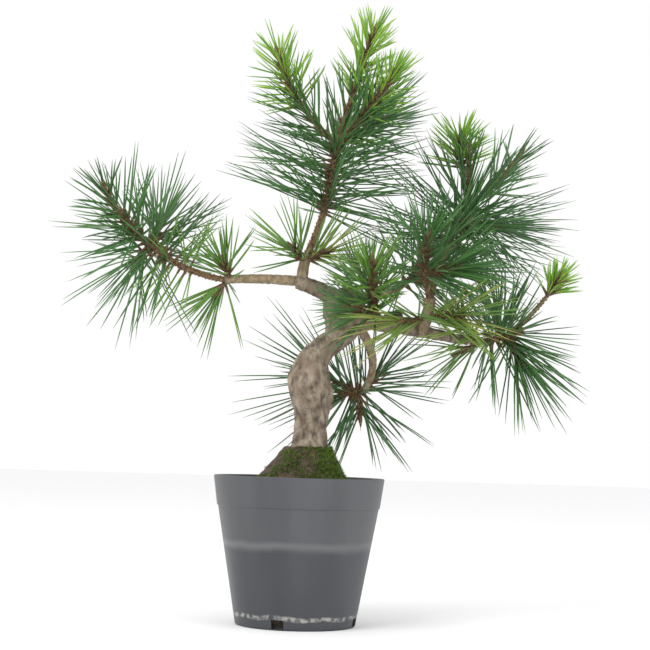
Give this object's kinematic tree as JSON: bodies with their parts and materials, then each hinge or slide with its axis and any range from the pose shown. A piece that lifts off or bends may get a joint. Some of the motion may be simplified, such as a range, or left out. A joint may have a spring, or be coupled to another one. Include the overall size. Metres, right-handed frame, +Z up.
{
  "type": "japanese black pine bonsai",
  "caption": "Japanese black pine bonsai in a round grey plastic plant pot: twisted leaning trunk with fused roots, open crown of long-needled boughs, mossy root mound.",
  "frame": {"origin": "middle of the pot's flat underside", "axes": "+Z up, +X to the right of the shown side, +Y to the back"},
  "size_m": [0.377, 0.223, 0.4441],
  "materials": {
    "pot": "satin dark grey plastic with a tide line and scale",
    "soil": "damp dark brown soil",
    "moss": "soft green moss over brown root bark",
    "bark": "rough grey-brown bark",
    "young_bark": "smoother tan bark with needle pegs",
    "dead_wood": "weathered dark dead wood",
    "needles": "satin green needles in pairs"
  },
  "bodies": {
    "root": {"pot": "pot", "soil": "soil", "moss_mound": "moss", "trunk": "bark", "bough_left": "bark", "branch_left": "young_bark", "bough_top": "young_bark", "bough_right": "bark", "bough_right_up": "young_bark", "bough_low": "young_bark", "bough_back": "young_bark", "dead_stub": "dead_wood", "needles_left": "needles", "needles_left_inner_up": "needles", "needles_left_inner_down": "needles", "needles_top": "needles", "needles_top_foot_left": "needles", "needles_top_foot_right": "needles", "needles_crest": "needles", "needles_right_front": "needles", "needles_fork_left": "needles", "needles_fork_right": "needles", "needles_centre": "needles", "needles_centre_inner": "needles", "needles_right_low": "needles", "needles_back_right": "needles", "needles_back_middle": "needles", "needles_low": "needles"}
  },
  "joints": []
}
